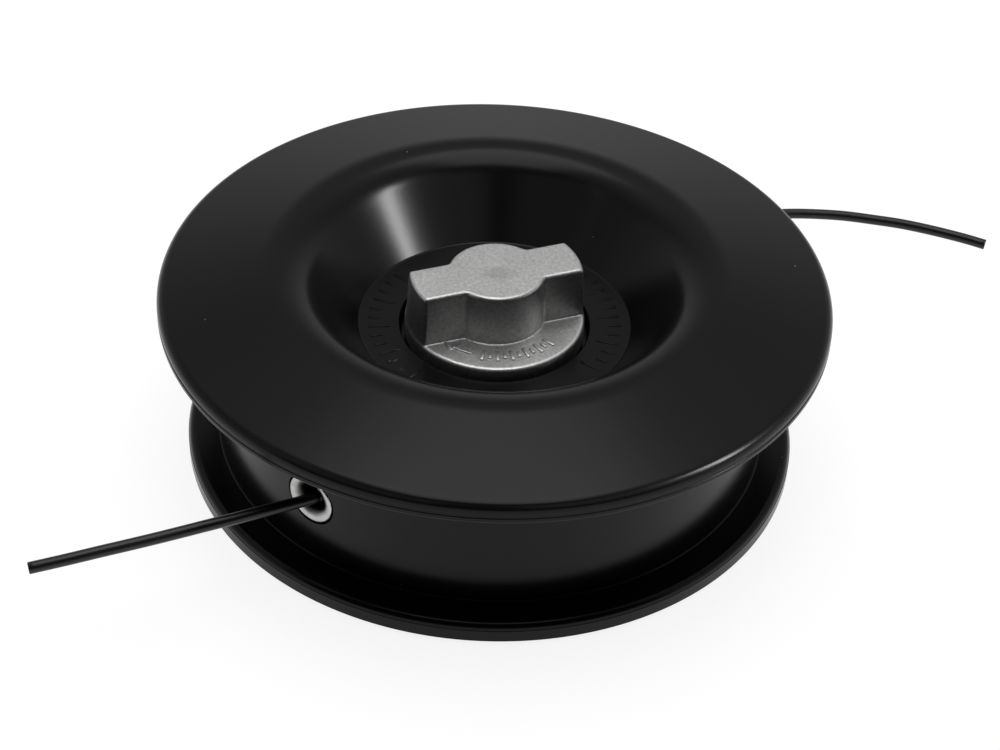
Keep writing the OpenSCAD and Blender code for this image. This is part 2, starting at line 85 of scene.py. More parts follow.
# ---- Nylon line -------------------------------------------------------------
# Drawn round monofilament, black and smooth, stiff enough to stand out from the eyelets by
# itself. Two free stubs, cut square with side cutters, and the two leads inside the hub that
# they come from.
LINE_D = 2.4 * MM
LINE_CHAMFER = 0.12 * MM
LINE_SIDES = 24
STUB_STEPS = 6
LEAD_STEPS = 4

STUB_FRONT = [
    (-33.3, -46.4, 20.3), (-35.3, -47.6, 20.3), (-39.7, -49.7, 20.3), (-44.5, -51.9, 20.3),
    (-49.2, -54, 20.2), (-53.8, -56.1, 20.2), (-60.5, -59.1, 20.1), (-67, -61.9, 20),
    (-73.6, -64.4, 19.7), (-80.1, -66.8, 19.3), (-86.7, -69, 18.8),
]
STUB_REAR = [
    (33.7, 45.9, 20.3), (35.2, 47.9, 20.3), (37.8, 50.6, 20.1), (41.2, 53.1, 19.6),
    (45.1, 55.3, 19), (49.2, 57.2, 18.4), (53.4, 59, 17.9), (57.2, 60.7, 17.7), (62.5, 63, 17.6),
    (68, 64.5, 17.4), (74.4, 65.2, 17.2), (81.6, 65.3, 17), (88.7, 64.7, 16.7), (95.8, 63.8, 16.4),
    (102.8, 62.3, 16), (109.8, 60.3, 15.6), (114.9, 58.6, 15.2),
]
LEAD_FRONT = [
    (-5.1, -43.7, 13.4), (-10.1, -43.6, 13.9), (-15.1, -43.5, 15.3), (-20, -43.4, 17),
    (-24.5, -43.4, 18.6), (-27.5, -43.6, 19.4), (-29.5, -44.2, 19.9), (-31.3, -45.2, 20.3),
    (-33.3, -46.4, 20.3),
]
LEAD_REAR = [
    (9.6, 42.7, 20.2), (13.4, 41.9, 20.2), (17.3, 41.4, 20.2), (21.1, 41.1, 20.2),
    (24.7, 41.1, 20.3), (27.9, 41.5, 20.3), (30.5, 42.4, 20.3), (32.2, 43.9, 20.3),
    (33.7, 45.9, 20.3),
]


def node_adder(tree):
    """A function that adds a node, wires its sockets by place or name, and gives an output."""
    def add(kind, *values, at=None, out=0, **settings):
        node = tree.nodes.new(kind)
        pairs = list(enumerate(values)) + list((at or {}).items())
        for key, value in settings.items():
            label = key.replace("_", " ")
            if label in node.inputs:
                pairs.append((label, value))
            else:
                setattr(node, key, value)
        for key, value in pairs:
            if isinstance(value, bpy.types.NodeSocket):
                tree.links.new(value, node.inputs[key])
            else:
                node.inputs[key].default_value = value
        return node.outputs[out] if node.outputs else node
    return add


def new_material(name):
    """An empty material and its adder."""
    material = bpy.data.materials.new(name)
    material.use_nodes = True
    material.node_tree.nodes.clear()
    return material, node_adder(material.node_tree)


def noise(add, place, scale, detail):
    """Soft uneven noise, as fine as its scale."""
    return add("ShaderNodeTexNoise", Vector=place, Scale=scale, Detail=detail)


def ramp(add, value, start, end, low=0.0, high=1.0, **settings):
    """A value between start and end, spread from low to high."""
    return add("ShaderNodeMapRange", Value=value, From_Min=start, From_Max=end, To_Min=low,
               To_Max=high, **settings)


def link(name, mesh, material):
    """A finished piece: its object at the origin, its place in its mesh, one material."""
    piece = placed(name, mesh)
    mesh.materials.clear()
    mesh.materials.append(material)
    return piece


def line_nylon(name, place_of):
    """Black monofilament: glossy, with faint lengthwise drawing marks."""
    material, add = new_material(name)
    marks = noise(add, place_of(add), scale=3.0, detail=4.0)
    bump = add("ShaderNodeBump", Height=marks, Strength=0.25, Distance=0.00003)
    rough = ramp(add, marks, 0, 1, low=0.24, high=0.42)
    shader = add("ShaderNodeBsdfPrincipled", Roughness=rough, Normal=bump,
                 Base_Color=(0.0045, 0.0045, 0.005, 1), Specular_IOR_Level=0.4)
    add("ShaderNodeOutputMaterial", Surface=shader)
    return material


def along_the_line(add):
    """Places that run with the line, stretched along it."""
    uv = add("ShaderNodeUVMap", uv_map="along")
    return add("ShaderNodeMapping", Vector=uv, Scale=(40, 0.6, 1))


def line_path(points, steps):
    """A smooth curve through the route's points, as many places as steps a stretch."""
    p = np.array(points) * MM
    ahead = np.gradient(p, axis=0)
    places = []
    for i in range(len(p) - 1):
        for t in np.linspace(0, 1, steps, endpoint=False):
            h = (2 * t**3 - 3 * t**2 + 1, t**3 - 2 * t**2 + t, -2 * t**3 + 3 * t**2, t**3 - t**2)
            places.append(h[0] * p[i] + h[1] * ahead[i] + h[2] * p[i + 1] + h[3] * ahead[i + 1])
    places.append(p[-1])
    return np.array(places)


def line_tube(path, radius, sides, chamfer):
    """A closed round tube along a path, with a small chamfer at each cut end and a UV map."""
    ahead = np.gradient(path, axis=0)
    ahead /= np.linalg.norm(ahead, axis=1)[:, None]
    side = np.cross((0, 0, 1.0), ahead)
    side /= np.linalg.norm(side, axis=1)[:, None]
    upward = np.cross(ahead, side)
    run = np.concatenate([[0], np.cumsum(np.linalg.norm(np.diff(path, axis=0), axis=1))])
    last = len(path) - 1
    rings = [(path[0], radius - chamfer, 0), (path[0] + ahead[0] * chamfer, radius, 0),
             *((path[i], radius, i) for i in range(1, last)),
             (path[-1] - ahead[-1] * chamfer, radius, last), (path[-1], radius - chamfer, last)]
    mesh = bmesh.new()
    uv = mesh.loops.layers.uv.new("along")
    loops = []
    for centre, r, i in rings:
        turn = [2 * math.pi * k / sides for k in range(sides)]
        loops.append([mesh.verts.new(centre + r * (math.cos(a) * side[i] + math.sin(a) * upward[i]))
                      for a in turn])
    for j in range(len(loops) - 1):
        for k in range(sides):
            n = (k + 1) % sides
            face = mesh.faces.new((loops[j][k], loops[j][n], loops[j + 1][n], loops[j + 1][k]))
            face.smooth = True
            for loop, (u, v) in zip(face.loops, ((k, j), (k + 1, j), (k + 1, j + 1), (k, j + 1))):
                loop[uv].uv = (u / sides, run[rings[v][2]] / (2 * math.pi * radius))
    mesh.faces.new(loops[0][::-1])
    mesh.faces.new(loops[-1])
    bmesh.ops.recalc_face_normals(mesh, faces=mesh.faces)
    made = bpy.data.meshes.new("line")
    mesh.to_mesh(made)
    mesh.free()
    return made


LINE_NYLON = line_nylon("line_nylon", along_the_line)


def lay_line(name, points, steps, node):
    """A finished stretch of line over a route, and its path."""
    path = line_path(points, steps)
    piece = link(name, line_tube(path, LINE_D / 2, LINE_SIDES, LINE_CHAMFER), LINE_NYLON)
    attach(piece, "housing")
    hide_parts(node)
    return piece, path


for stub_name, stub_points, stub_node in (
    ("line_stub_front", STUB_FRONT, "cutting_line_front"),
    ("line_stub_rear", STUB_REAR, "cutting_line_rear"),
):
    stub, stub_path = lay_line(stub_name, stub_points, STUB_STEPS, stub_node)

lay_line("line_run_front", LEAD_FRONT, LEAD_STEPS, "line_lead_front")
lay_line("line_run_rear", LEAD_REAR, LEAD_STEPS, "line_lead_rear")


# ---- Housing ----------------------------------------------------------------
# The gearbox-side half: flange, hub wall, floor and centre boss in one injection moulding of
# black nylon, with ribs under the floor. Two stepped holes in the wall take the eyelets, and a
# hexagonal pocket under the boss takes the head of the arbor. Sizes are in millimetres.
FLANGE_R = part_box("housing")[1][0] / MM
HUB_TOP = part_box("housing")[1][2] / MM
FLANGE_T = 5.5
LIP_R = 1.6
LIP_STEP = 0.1
LIP_STEP_EDGES = (0.02, 0.05)
FLANGE_CHAMFER = 1.2
HUB_R = 58.8
HUB_IN_R = 55.8
HUB_FILLET = 0.35
WALL = 2.4
FLOOR_LOW = 2.6
FLOOR_TOP = 5.0
BOSS_R = 14.0
BOSS_IN_R = 11.0
BOSS_LOW = 0.6
BOSS_TOP = 22.8
WEB_TOP = 15.5
SHANK_HOLE_R = 6.1
HEX_POCKET = 17.2
HEX_POCKET_TOP = 12.0
RIB_T = 1.8
FLOOR_RIBS = 8
KEY_W = 5.6
KEY_DEPTH = 2.0
KEY_LOW = 29.6
EYELET_TURN = 53.7
EYELET_Z = 20.25
EYELET_SEAT_U = 56.55
EYELET_SEAT_R = 5.85
EYELET_HOLE_R = 3.8
PAST = 1.0
SOFT_EDGE = 0.3
ARC_STEP = math.radians(7)
GUARD = 0.08
GUARD_MOST = 0.3
LEAST_FLAT = 0.01


def rounded(corners):
    """A closed outline of radius and height, from corners with their edge radius or the soft one.

    A guard point on each side of an edge keeps its shading off the flat beside it."""
    corners = [(*corner, SOFT_EDGE)[:3] for corner in corners]
    places = [Vector(corner[:2]) for corner in corners]
    count = len(corners)
    bends, reaches, ahead = [], [], []
    for i, (x, z, edge) in enumerate(corners):
        onward = places[(i + 1) % count] - places[i]
        bend = math.pi - (places[i - 1] - places[i]).angle(onward)
        ahead.append(onward)
        bends.append(bend)
        reaches.append(edge * math.tan(bend / 2))
    free = [ahead[i].length - reaches[i] - reaches[(i + 1) % count] for i in range(count)]
    outline = []
    for i, (x, z, edge) in enumerate(corners):
        back = -ahead[i - 1].normalized()
        onward = ahead[i].normalized()
        centre = places[i] + (back + onward).normalized() * edge / math.cos(bends[i] / 2)
        start = places[i] + back * reaches[i] - centre
        end = places[i] + onward * reaches[i] - centre
        swing = math.copysign(bends[i], start.x * end.y - start.y * end.x)
        steps = max(2, math.ceil(bends[i] / ARC_STEP))
        if free[i - 1] > LEAST_FLAT:
            outline.append(centre + start + back * min(GUARD * edge, GUARD_MOST * free[i - 1]))
        for k in range(steps + 1):
            a = swing * k / steps
            outline.append(centre + Vector((start.x * math.cos(a) - start.y * math.sin(a),
                                            start.x * math.sin(a) + start.y * math.cos(a))))
        if free[i] > LEAST_FLAT:
            outline.append(centre + end + onward * min(GUARD * edge, GUARD_MOST * free[i]))
    return outline


def mesh_of(corners, faces, edges=()):
    """A mesh from corners in millimetres."""
    mesh = bpy.data.meshes.new("shape")
    mesh.from_pydata([Vector(corner) * MM for corner in corners], list(edges), faces)
    return mesh


def new_tree(name, **inputs):
    """A geometry node tree with a shape and other named inputs, its adder and those inputs."""
    tree = bpy.data.node_groups.new(name, "GeometryNodeTree")
    for label, kind in {"Shape": "Geometry", **inputs}.items():
        tree.interface.new_socket(label.replace("_", " "), in_out="INPUT",
                                  socket_type="NodeSocket" + kind)
    tree.interface.new_socket("Piece", in_out="OUTPUT", socket_type="NodeSocketGeometry")
    add = node_adder(tree)
    return tree, add, add("NodeGroupInput").node.outputs


def end_tree(add, piece, material):
    """The last nodes of every tree: real geometry, its material, the result."""
    solid = add("GeometryNodeRealizeInstances", Geometry=piece)
    coated = add("GeometryNodeSetMaterial", Geometry=solid, Material=material)
    add("NodeGroupOutput", coated)


def maths(add):
    """A function that adds a maths node and gives its result."""
    return lambda operation, *values: add("ShaderNodeMath", *values, operation=operation)


def evaluated(mesh, prepare):
    """The plain mesh that comes out of the modifiers that prepare() puts on a mesh."""
    carrier = placed("carrier", mesh)
    prepare(carrier)
    graph = bpy.context.evaluated_depsgraph_get()
    made = bpy.data.meshes.new_from_object(carrier.evaluated_get(graph), depsgraph=graph)
    bpy.data.objects.remove(carrier)
    return made


def grown(mesh, tree, **inputs):
    """Runs a tree on a mesh, with the values of its inputs set by their identifiers."""
    def prepare(carrier):
        modifier = carrier.modifiers.new("nodes", "NODES")
        modifier.node_group = tree
        for item in tree.interface.items_tree:
            key = item.name.replace(" ", "_")
            if item.in_out == "INPUT" and key in inputs:
                modifier[item.identifier] = inputs[key]
    return evaluated(mesh, prepare)


def turned_tree():
    """Spins an outline of radius and height round the axis."""
    tree, add, given = new_tree("turned", Steps="Int", Path_radius="Float", Material="Material")
    outline = add("GeometryNodeMeshToCurve", Mesh=given["Shape"])
    path = add("GeometryNodeCurvePrimitiveCircle", Resolution=given["Steps"],
               Radius=given["Path radius"])
    body = add("GeometryNodeCurveToMesh", Curve=path, Profile_Curve=outline)
    end_tree(add, body, given["Material"])
    return tree


def around_tree():
    """Repeats a shape round the axis at equal steps from a first turn."""
    tree, add, given = new_tree("around", Count="Int", First_turn="Float", Step="Float",
                                Material="Material")
    places = add("GeometryNodeMeshLine", Count=given["Count"], Offset=(0, 0, 0))
    index = add("GeometryNodeInputIndex")
    swing = maths(add)("MULTIPLY_ADD", index, given["Step"], given["First turn"])
    turn = add("ShaderNodeCombineXYZ", Z=swing)
    copies = add("GeometryNodeInstanceOnPoints", Points=places, Instance=given["Shape"],
                 Rotation=turn)
    end_tree(add, copies, given["Material"])
    return tree


TURNED = turned_tree()
AROUND = around_tree()


def outward(mesh):
    """Merges what meets and turns the faces of a closed mesh outward."""
    shape = bmesh.new()
    shape.from_mesh(mesh)
    bmesh.ops.remove_doubles(shape, verts=shape.verts, dist=0.0005 * MM)
    bmesh.ops.recalc_face_normals(shape, faces=shape.faces)
    shape.to_mesh(mesh)
    shape.free()
    return mesh


def turned(corners, material, steps=240):
    """A closed turned solid from the corners of its half section."""
    path_radius = 1.0
    outline = rounded(corners)
    ring = [(i, (i + 1) % len(outline)) for i in range(len(outline))]
    half = mesh_of([(p.x - path_radius, -p.y, 0) for p in outline], [], ring)
    return outward(grown(half, TURNED, Steps=steps, Path_radius=path_radius * MM,
                         Material=material))


def around(mesh, count, first_turn, step, material):
    """Copies of a shape round the axis, at turns in degrees."""
    return grown(mesh, AROUND, Count=count, First_turn=math.radians(first_turn),
                 Step=math.radians(step), Material=material)


def block(x, y, z):
    """A block between two values along each axis."""
    corners = [(a, b, c) for c in z for b in y for a in x]
    return mesh_of(corners, [(0, 2, 3, 1), (4, 5, 7, 6), (0, 1, 5, 4), (2, 6, 7, 3),
                             (0, 4, 6, 2), (1, 3, 7, 5)])


def prism(outline, low, high):
    """An upright prism over a closed outline that runs anticlockwise."""
    n = len(outline)
    sides = [(i, (i + 1) % n, n + (i + 1) % n, n + i) for i in range(n)]
    return mesh_of([(x, y, z) for z in (low, high) for x, y in outline],
                   [tuple(range(n))[::-1], tuple(range(n, 2 * n)), *sides])


def circle(radius, steps, first=0.0):
    """The corners of a regular outline, anticlockwise from a first turn."""
    turns = [2 * math.pi * k / steps + math.radians(first) for k in range(steps)]
    return [(radius * math.cos(a), radius * math.sin(a)) for a in turns]


def combined(mesh, operation, *others):
    """One closed mesh from a mesh and others that are united with it or cut from it."""
    tools = [placed("tool", other) for other in others]

    def prepare(carrier):
        for tool in tools:
            modifier = carrier.modifiers.new("combine", "BOOLEAN")
            modifier.operation = operation
            modifier.solver = "MANIFOLD"
            modifier.object = tool

    made = evaluated(mesh, prepare)
    for tool in tools:
        bpy.data.objects.remove(tool)
    return made


def smooth_below(mesh, degrees=32):
    """Smooth faces, with a sharp edge where two of them bend more than this."""
    mesh.shade_smooth()
    mesh.set_sharp_from_angle(angle=math.radians(degrees))
    return mesh


def black_nylon(name, base, low_rough, high_rough):
    """A satin spark-finished skin with a soft sheen, faint cloudiness and a few dust specks."""
    material, add = new_material(name)
    place = add("ShaderNodeTexCoord", out="Object")
    work = maths(add)
    grain = noise(add, place, scale=5200.0, detail=3.0)
    cloud = noise(add, place, scale=55.0, detail=4.0)
    bump = add("ShaderNodeBump", Height=grain, Strength=0.22, Distance=0.00002)
    rough = ramp(add, cloud, 0, 1, low=low_rough, high=high_rough)
    specks = add("ShaderNodeTexVoronoi", Vector=place, Scale=190.0).node.outputs
    near = ramp(add, specks["Distance"], 0.03, 0.045, low=1, high=0)
    pick = add("ShaderNodeSeparateColor", Color=specks["Color"])
    dust = work("MULTIPLY", near, work("GREATER_THAN", pick, 0.93))
    colour = add("ShaderNodeMix", dust, data_type="RGBA", out=2,
                 at={6: (*base, 1), 7: (0.09, 0.09, 0.09, 1)})
    shader = add("ShaderNodeBsdfPrincipled", Base_Color=colour, Roughness=rough, Normal=bump,
                 Specular_IOR_Level=0.16)
    add("ShaderNodeOutputMaterial", Surface=shader)
    return material


BLACK_NYLON = black_nylon("black_nylon", (0.0028, 0.0028, 0.003), 0.19, 0.26)


def outward_turn(turn):
    """The place of a shape made round its own axis, once that axis points out of the hub."""
    return (Matrix.Rotation(math.radians(turn), 4, "Z") @ Matrix.Translation((0, 0, EYELET_Z * MM))
            @ Matrix.Rotation(math.radians(90), 4, "Y"))


def housing():
    lip_x = FLANGE_R - LIP_STEP
    body = turned([
        (SHANK_HOLE_R, BOSS_LOW), (SHANK_HOLE_R, WEB_TOP), (BOSS_IN_R, WEB_TOP),
        (BOSS_IN_R, BOSS_TOP), (BOSS_R, BOSS_TOP), (BOSS_R, FLOOR_TOP), (HUB_IN_R, FLOOR_TOP),
        (HUB_IN_R, HUB_TOP), (HUB_R, HUB_TOP), (HUB_R, FLANGE_T, HUB_FILLET),
        (lip_x, FLANGE_T, LIP_R), (lip_x, FLANGE_T - LIP_R, LIP_STEP_EDGES[0]),
        (FLANGE_R, FLANGE_T - LIP_R, LIP_STEP_EDGES[1]), (FLANGE_R, FLANGE_CHAMFER),
        (FLANGE_R - FLANGE_CHAMFER, 0), (FLANGE_R - WALL, 0), (FLANGE_R - WALL, FLANGE_T - WALL),
        (HUB_R, FLANGE_T - WALL), (HUB_R, 0), (HUB_IN_R, 0), (HUB_IN_R, FLOOR_LOW),
        (BOSS_R, FLOOR_LOW), (BOSS_R, BOSS_LOW),
    ], BLACK_NYLON)
    rib = block((BOSS_R - PAST, HUB_IN_R + PAST), (-RIB_T / 2, RIB_T / 2),
                (BOSS_LOW, FLOOR_LOW + PAST))
    key = block((HUB_IN_R - KEY_DEPTH, HUB_IN_R + PAST), (-KEY_W / 2, KEY_W / 2),
                (KEY_LOW, HUB_TOP - SOFT_EDGE))
    body = combined(body, "UNION",
                    around(rib, FLOOR_RIBS, 0, 360 / FLOOR_RIBS, BLACK_NYLON),
                    around(key, 2, EYELET_TURN + 90, 180, BLACK_NYLON))
    pocket_r = HEX_POCKET / 2 / math.cos(math.radians(30))
    cuts = [prism(circle(pocket_r, steps=6, first=30), -PAST, HEX_POCKET_TOP)]
    for turn in (EYELET_TURN, EYELET_TURN + 180):
        for radius, seat in ((EYELET_HOLE_R, HUB_IN_R - PAST), (EYELET_SEAT_R, EYELET_SEAT_U)):
            cut = prism(circle(radius, steps=96), seat, HUB_R + PAST)
            cut.transform(outward_turn(turn))
            cuts.append(cut)
    return smooth_below(combined(body, "DIFFERENCE", *cuts))


def finished(name, mesh, material, body, slot, *nodes):
    """A piece that is done: linked, riding its body, with the nodes it stands for hidden. Its slot
    is not used.
    """
    piece = link(name, mesh, material)
    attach(piece, body)
    if nodes:
        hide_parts(*nodes)
    return piece


HOUSING = finished("housing_moulding", housing(), BLACK_NYLON, "housing", "black_nylon", "housing")


# ---- Cover ------------------------------------------------------------------
# The ground-side half, moulded in the same nylon: a crowned shell with the knob's well in its
# middle, closed on the hub wall by a tongue and groove. Ribs stiffen it under the dish, and two
# fans of raised ticks lie on the ring round the well.
COVER_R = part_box("cover")[1][0] / MM
CUP_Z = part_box("cover")[0][2] / MM
CROWN_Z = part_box("cover")[1][2] / MM
WELL_FLOOR_T = 3.0
WELL_FLOOR_Z = CUP_Z + WELL_FLOOR_T
DISH_DEPTH = 15.5
RING_Z = CROWN_Z - DISH_DEPTH
CROWN_X = 46.1
CROWN_R = 10.0
COVER_SLOPE = math.radians(12)
DISH_SLOPE = math.radians(51)
COVER_EDGE_R = 2.2
RING_EDGES = (0.35, 0.7)
WELL_FILLET = 0.6
RIM_H = 4.1
WELL_R = 20.1
WEB_HOLE_R = 6.5
GROOVE_DEPTH = 0.12
GROOVE_H = 0.5
BEAD_H = 1.3
BAND_EDGES = (0.12, 0.1, 0.1, 0.2, 0.5)
TONGUE_H = 3.5
JOIN_GAP = 0.2
REEL_GAP = 0.5
SPIGOT_FILLET = 0.5
COVER_RIBS = 8
TICK_COUNT = 13
TICK_STEP = 7
TICK_W = 0.6
TICK_H = 0.12
TICK_MARGIN = 2.0
TICK_SHORT = 0.55
TICK_EDGE = 0.08
FAN_TURN = 8
SUNK = 0.2


def crown_point(inset, lean):
    """A point on the crown's shoulder, so far inside its skin, at an angle from upright."""
    return Vector((CROWN_X + (CROWN_R - inset) * math.sin(lean),
                   CROWN_Z - CROWN_R + (CROWN_R - inset) * math.cos(lean)))


def crown_corner(inset):
    """Where the outer face and the dish wall would meet if the crown weren't round."""
    middle = (COVER_SLOPE - DISH_SLOPE) / 2
    reach = (CROWN_R - inset) / math.cos((COVER_SLOPE + DISH_SLOPE) / 2)
    return (CROWN_X + reach * math.sin(middle), CROWN_Z - CROWN_R + reach * math.cos(middle),
            CROWN_R - inset)


def face_height(x, inset):
    """Height of the outer face at a radius, so far inside its skin."""
    start = crown_point(inset, COVER_SLOPE)
    return start.y - (x - start.x) * math.tan(COVER_SLOPE)


def dish_foot(inset):
    """Radius at which the dish wall meets the ring."""
    start = crown_point(inset, -DISH_SLOPE)
    return start.x - (start.y - RING_Z + inset) / math.tan(DISH_SLOPE)


def cover():
    seat = face_height(COVER_R, 0) - RIM_H
    groove = COVER_R - GROOVE_DEPTH
    tongue_in = HUB_IN_R - JOIN_GAP
    tongue_out = HUB_R + JOIN_GAP
    spigot_in = tongue_in - WALL
    spigot_low = RING_Z - WALL + REEL_GAP
    lip_out = tongue_out + WALL
    rim_in = COVER_R - WALL
    cup_r = WELL_R + WALL
    ring_edge, foot_edge = RING_EDGES
    band_places = [(COVER_R, seat + BEAD_H + GROOVE_H), (groove, seat + BEAD_H + GROOVE_H),
                   (groove, seat + BEAD_H), (COVER_R, seat + BEAD_H), (COVER_R, seat)]
    band = [(*place, edge) for place, edge in zip(band_places, BAND_EDGES)]
    body = turned([
        (WEB_HOLE_R, CUP_Z), (WEB_HOLE_R, WELL_FLOOR_Z), (WELL_R, WELL_FLOOR_Z, WELL_FILLET),
        (WELL_R, RING_Z, ring_edge), (dish_foot(0), RING_Z, foot_edge), crown_corner(0),
        (COVER_R, face_height(COVER_R, 0), COVER_EDGE_R), *band,
        (rim_in, seat), (rim_in, face_height(rim_in, WALL)),
        (lip_out, face_height(lip_out, WALL)), (lip_out, seat),
        (tongue_out, seat), (tongue_out, seat + TONGUE_H), (tongue_in, seat + TONGUE_H),
        (tongue_in, spigot_low), (spigot_in, spigot_low),
        (spigot_in, face_height(spigot_in, WALL), SPIGOT_FILLET), crown_corner(WALL),
        (dish_foot(WALL), RING_Z - WALL, foot_edge), (cup_r, RING_Z - WALL, foot_edge),
        (cup_r, CUP_Z),
    ], BLACK_NYLON)
    half = WALL / 2
    rib_section = [(cup_r - half, spigot_low + JOIN_GAP), (cup_r - half, RING_Z - half),
                   (dish_foot(half), RING_Z - half), tuple(crown_point(half, -DISH_SLOPE)),
                   tuple(crown_point(half, 0)), tuple(crown_point(half, COVER_SLOPE)),
                   (spigot_in + half, face_height(spigot_in + half, half)),
                   (spigot_in + half, spigot_low + JOIN_GAP)]
    rib = prism(rib_section[::-1], -RIB_T / 2, RIB_T / 2)
    rib.transform(Matrix.Rotation(math.radians(90), 4, "X"))
    slot = block((spigot_in - PAST, tongue_out), (-KEY_W / 2 - JOIN_GAP, KEY_W / 2 + JOIN_GAP),
                 (spigot_low - PAST, seat + TONGUE_H))
    step = 360 / COVER_RIBS
    body = combined(body, "UNION", around(rib, COVER_RIBS, step / 2, step, BLACK_NYLON))
    body = combined(body, "DIFFERENCE", around(slot, 2, EYELET_TURN + 90, 180, BLACK_NYLON))
    return smooth_below(body)


def softened(mesh, width):
    """Rounds every edge of a small raised mark."""
    def prepare(carrier):
        modifier = carrier.modifiers.new("soften", "BEVEL")
        modifier.width = width * MM
        modifier.segments = 2
    return smooth_below(evaluated(mesh, prepare), 50)


def united(*meshes):
    """Several meshes as one, side by side."""
    shape = bmesh.new()
    for mesh in meshes:
        shape.from_mesh(mesh)
    mesh = bpy.data.meshes.new("shape")
    shape.to_mesh(mesh)
    shape.free()
    return mesh


def ring_ticks():
    """Every third tick is long, the two between are short."""
    inner = WELL_R + TICK_MARGIN
    outer = dish_foot(0) - TICK_MARGIN
    fans = []
    for first, share in ((0, 1), (1, TICK_SHORT), (2, TICK_SHORT)):
        length = share * (outer - inner)
        count = len(range(first, TICK_COUNT, 3))
        tick = softened(block((outer - length, outer), (-TICK_W / 2, TICK_W / 2),
                              (RING_Z - SUNK, RING_Z + TICK_H)), TICK_EDGE)
        fan_start = FAN_TURN + TICK_STEP * (first - (TICK_COUNT - 1) / 2)
        fan = around(tick, count, fan_start, 3 * TICK_STEP, BLACK_NYLON)
        fans.append(around(fan, 2, 0, 180, BLACK_NYLON))
    return united(*fans)


COVER = finished("cover_moulding", cover(), BLACK_NYLON, "housing", "black_nylon", "cover")
finished("ring_ticks", ring_ticks(), BLACK_NYLON, "housing", "black_nylon")


# ---- Eyelets ----------------------------------------------------------------
# Two flared guides that keep the line from sawing through the hub wall. Each is pressed from
# bright aluminium, pushed in from outside, and its tail is curled over inside the wall.
EYELET_R = 5.45
THROAT_R = 2.8
FLARE_R = 2.25
TUBE_R = 3.8
CURL_R = 4.6
CURL_U = 55.5
TAIL_U = 54.5
SLIDE_GAP = 0.02
EYELET_CORNERS = [
    (THROAT_R, TAIL_U, 0.7), (THROAT_R, HUB_R, FLARE_R), (EYELET_R, HUB_R, 0.4),
    (EYELET_R, EYELET_SEAT_U, 0.2), (TUBE_R - SLIDE_GAP, EYELET_SEAT_U, 0.1),
    (TUBE_R - SLIDE_GAP, CURL_U, 0.1), (CURL_R, CURL_U, 0.15), (CURL_R, TAIL_U, 0.6),
]


def metal(name, colour, rough, scale, strength, mottle=0.1, shade=None):
    """Bare metal: fine grain that also shows in its tone, and an uneven gloss."""
    material, add = new_material(name)
    place = add("ShaderNodeTexCoord", out="Object")
    grain = noise(add, place, scale=scale, detail=4.0)
    cloud = noise(add, place, scale=scale / 12, detail=3.0)
    bump = add("ShaderNodeBump", Height=grain, Strength=strength, Distance=0.00004)
    gloss = ramp(add, cloud, 0.3, 0.7, low=rough - 0.05, high=rough + 0.05)
    tone = ramp(add, grain, 0.3, 0.7, low=1 - mottle, high=1 + mottle)
    if shade:
        tone = maths(add)("MULTIPLY", tone, shade(add, place))
    skin_tone = add("ShaderNodeVectorMath", colour, operation="SCALE", Scale=tone)
    shader = add("ShaderNodeBsdfPrincipled", Base_Color=skin_tone, Roughness=gloss, Normal=bump,
                 Metallic=1.0)
    add("ShaderNodeOutputMaterial", Surface=shader)
    return material


def off_axis(add, place, sides):
    """How far a place lies from an axis, given the two sides that count."""
    side = add("ShaderNodeVectorMath", place, sides, operation="MULTIPLY")
    return add("ShaderNodeVectorMath", side, operation="LENGTH", out="Value")


def painted_throat_shade(add, place):
    """Painted shade: the throat and the inside of the flare are darkened nearly to black, where the
    hole looks dark, fading out over the flare.
    """
    turned_back = add("ShaderNodeMapping", Vector=place, vector_type="TEXTURE",
                      Location=(0, 0, EYELET_Z * MM), Rotation=(0, 0, math.radians(EYELET_TURN)))
    # painted shade: the colour falls to 4% inside the throat
    return ramp(add, off_axis(add, turned_back, (0, 1, 1)), 3.0 * MM, 4.5 * MM, low=0.04,
                interpolation_type="SMOOTHSTEP")


EYELET_METAL = metal("eyelet_metal", (0.5, 0.5, 0.49), 0.36, 900, 0.15, shade=painted_throat_shade)


def eyelet(turn):
    mesh = turned(EYELET_CORNERS, EYELET_METAL, steps=128)
    mesh.transform(outward_turn(turn))
    return smooth_below(mesh)


for eyelet_name, eyelet_turn in (
    ("eyelet_front", EYELET_TURN + 180),
    ("eyelet_rear", EYELET_TURN),
):
    finished(eyelet_name + "_guide", eyelet(eyelet_turn), EYELET_METAL, "housing", "eyelet_metal",
             eyelet_name)


# ---- Reel -------------------------------------------------------------------
# The reel that stores the line: one nylon moulding with two channels and a divider between them,
# free to turn on the housing's boss while the knob is slack.
def dress(node, material):
    """A CAD node keeps its shape and gets its finish."""
    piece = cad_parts[node]
    piece.data.materials.clear()
    piece.data.materials.append(material)


REEL_NYLON = black_nylon("reel_nylon", (0.009, 0.009, 0.0095), 0.38, 0.5)
dress("spool", REEL_NYLON)


# ---- Stored line ------------------------------------------------------------
# Each channel of the reel holds seven layers of line, wound tight from the core outward. The
# winding climbs a layer where it turns back at a wall, and its last turn runs into the lead.
WINDING_LAYERS = 7
LAYER_TURNS = 2.75
CLIMB_TURNS = 0.3
LAST_TURNS = 0.35
TURN_STEPS = 64
WOUND_SIDES = 10
CORE_R = 26.0


def places_by_turn(add, work, turns, steps):
    """A row of places for so many turns, and each one's turns from the start."""
    count = work("MULTIPLY_ADD", turns, steps, 1.5)
    places = add("GeometryNodeMeshLine", Count=count, Offset=(0, 0, 0))
    return places, work("DIVIDE", add("GeometryNodeInputIndex"), steps)


